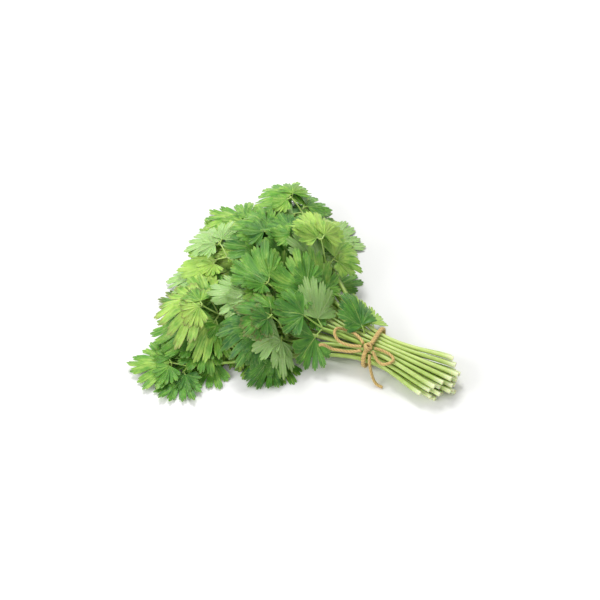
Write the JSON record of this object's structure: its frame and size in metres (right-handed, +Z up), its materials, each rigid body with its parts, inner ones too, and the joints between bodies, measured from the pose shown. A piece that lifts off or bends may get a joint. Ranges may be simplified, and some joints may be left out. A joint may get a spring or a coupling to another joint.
{
  "type": "herb bunch",
  "caption": "Fresh coriander bunch lying down: leafy cut stems fanned out from a jute twine tie with a bow, for food, kitchen and market scenes.",
  "frame": {"origin": "on the table, under the middle of the box round the stems, leaves and tie", "axes": "+X along the bunch towards the cut ends of the stems, +Y across it towards the far side of the picture, +Z up from the table"},
  "size_m": [0.2614, 0.2334, 0.0639],
  "materials": {
    "leaf": "fresh green leaves and pale green stems, satin",
    "twine": "natural jute, matt"
  },
  "bodies": {
    "root": {"leafy_stem_01": "leaf", "leafy_stem_02": "leaf", "leafy_stem_03": "leaf", "leafy_stem_04": "leaf", "leafy_stem_05": "leaf", "leafy_stem_06": "leaf", "leafy_stem_07": "leaf", "leafy_stem_08": "leaf", "leafy_stem_09": "leaf", "leafy_stem_10": "leaf", "leafy_stem_11": "leaf", "leafy_stem_12": "leaf", "leafy_stem_13": "leaf", "leafy_stem_14": "leaf", "leafy_stem_15": "leaf", "leafy_stem_16": "leaf", "leafy_stem_17": "leaf", "leafy_stem_18": "leaf", "leafy_stem_19": "leaf", "leafy_stem_20": "leaf", "leafy_stem_21": "leaf", "leafy_stem_22": "leaf", "leafy_stem_23": "leaf", "leafy_stem_24": "leaf", "leafy_stem_25": "leaf", "leafy_stem_26": "leaf", "leafy_stem_27": "leaf", "leafy_stem_28": "leaf", "leafy_stem_29": "leaf", "leafy_stem_30": "leaf", "leafy_stem_31": "leaf", "leafy_stem_32": "leaf", "leafy_stem_33": "leaf", "leafy_stem_34": "leaf", "twine_tie": "twine", "twine_loop_left": "twine", "twine_loop_right": "twine", "twine_tail_left": "twine", "twine_tail_right": "twine"}
  },
  "joints": []
}
